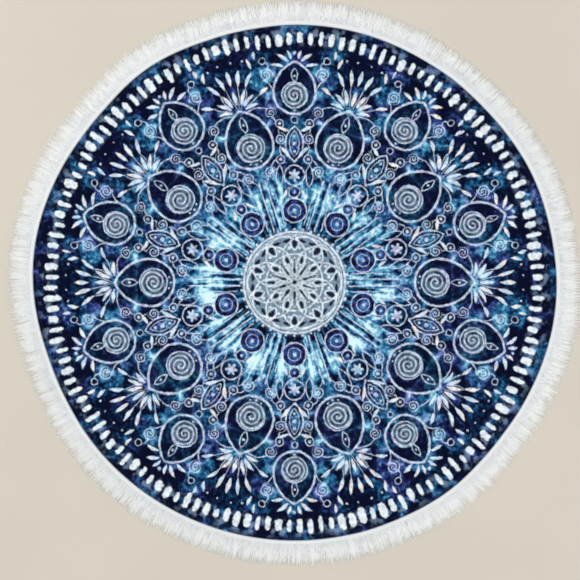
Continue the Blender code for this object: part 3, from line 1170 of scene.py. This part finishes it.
def make_floor(colour):
    place = (0, 0, FLOOR_LEVEL)
    bpy.ops.mesh.primitive_circle_add(vertices=96, radius=FLOOR_RADIUS, fill_type="NGON", location=place)
    floor = bpy.context.object
    floor.name = "floor"
    finish = Finish("plain_floor", Roughness=0.85, Specular_IOR_Level=0.2)
    mottle = finish.noise(finish.place(), 2.2, detail=4.0, roughness=0.55).fade(0.3, 0.7)
    finish.feed("Base Color", finish.mix(mottle, dimmed(colour, 0.96), colour))
    floor.data.materials.append(finish.material)


def make_camera():
    camera = new_object("camera", bpy.data.cameras.new("camera"))
    camera.data.lens = LENS
    camera.data.sensor_width = SENSOR
    height = PHOTO_SIDE * PIXEL * LENS / SENSOR
    across = (PHOTO_SIDE / 2 - TOWEL_MIDDLE[0]) * PIXEL
    up = (TOWEL_MIDDLE[1] - PHOTO_SIDE / 2) * PIXEL
    camera.location = (across, up, height)
    camera.data.clip_end = 100
    bpy.context.scene.camera = camera


def make_world():
    world = bpy.data.worlds.new("studio")
    world.use_nodes = True
    background = world.node_tree.nodes["Background"]
    background.inputs["Color"].default_value = (1.0, 1.0, 1.0, 1.0)
    background.inputs["Strength"].default_value = WORLD_STRENGTH
    bpy.context.scene.world = world


def make_stage(settings):
    make_floor(settings.floor)
    make_world()
    for lamp in LAMPS:
        soft_light(lamp)
    make_camera()
    bpy.context.scene.view_settings.view_transform = "Standard"


# --- Operators and panel ---


class TOWEL_OT_heading(bpy.types.Operator):
    """Make the woven heading that runs round the hem"""

    bl_idname = "round_towel.heading"
    bl_label = "Heading"

    def execute(self, context):
        make_heading(context.scene.round_towel)
        return {"FINISHED"}


class TOWEL_OT_fringe(bpy.types.Operator):
    """Make the loose yarns, a quarter of the rim at a time"""

    bl_idname = "round_towel.fringe"
    bl_label = "Fringe"

    def execute(self, context):
        make_fringe(context.scene.round_towel)
        return {"FINISHED"}


class TOWEL_OT_stitches(bpy.types.Operator):
    """Sew the hem, and the heading to the hem"""

    bl_idname = "round_towel.stitches"
    bl_label = "Stitches"

    def execute(self, context):
        make_stitches(context.scene.round_towel)
        return {"FINISHED"}


class TOWEL_OT_cloth(bpy.types.Operator):
    """Make the printed disc with its hem, once the trim and the stitches that it carries are there"""

    bl_idname = "round_towel.cloth"
    bl_label = "Printed cloth"

    def execute(self, context):
        make_cloth(context.scene.round_towel)
        return {"FINISHED"}


class TOWEL_OT_stage(bpy.types.Operator):
    """Make the floor, the light and the camera"""

    bl_idname = "round_towel.stage"
    bl_label = "Stage"

    def execute(self, context):
        make_stage(context.scene.round_towel)
        return {"FINISHED"}


OPERATORS = (TOWEL_OT_heading, TOWEL_OT_fringe, TOWEL_OT_stitches, TOWEL_OT_cloth, TOWEL_OT_stage)


class TOWEL_PT_pieces(bpy.types.Panel):
    """Lists the towel's pieces and its settings"""

    bl_idname = "TOWEL_PT_pieces"
    bl_label = "Round beach towel"
    bl_space_type = "VIEW_3D"
    bl_region_type = "UI"
    bl_category = "Towel"

    def draw(self, context):
        settings = context.scene.round_towel
        for operator in OPERATORS:
            self.layout.operator(operator.bl_idname)
        for group in (settings.cloth, settings.trim, settings.sewing, settings.colours):
            box = self.layout.box()
            for name in group.__annotations__:
                box.prop(group, name)
        for name in ("cotton", "thread", "floor"):
            self.layout.prop(settings, name)


GROUPS = (ClothShape, TrimShape, SewingShape, PrintColours, TowelSettings)


def register():
    for cls in (*GROUPS, *OPERATORS, TOWEL_PT_pieces):
        bpy.utils.register_class(cls)
    bpy.types.Scene.round_towel = PointerProperty(type=TowelSettings)


def unregister():
    del bpy.types.Scene.round_towel
    for cls in (TOWEL_PT_pieces, *reversed(OPERATORS), *reversed(GROUPS)):
        bpy.utils.unregister_class(cls)


def main():
    register()
    bpy.ops.round_towel.heading()
    bpy.ops.round_towel.fringe()
    bpy.ops.round_towel.stitches()
    bpy.ops.round_towel.cloth()
    bpy.ops.round_towel.stage()


if __name__ == "__main__":
    main()
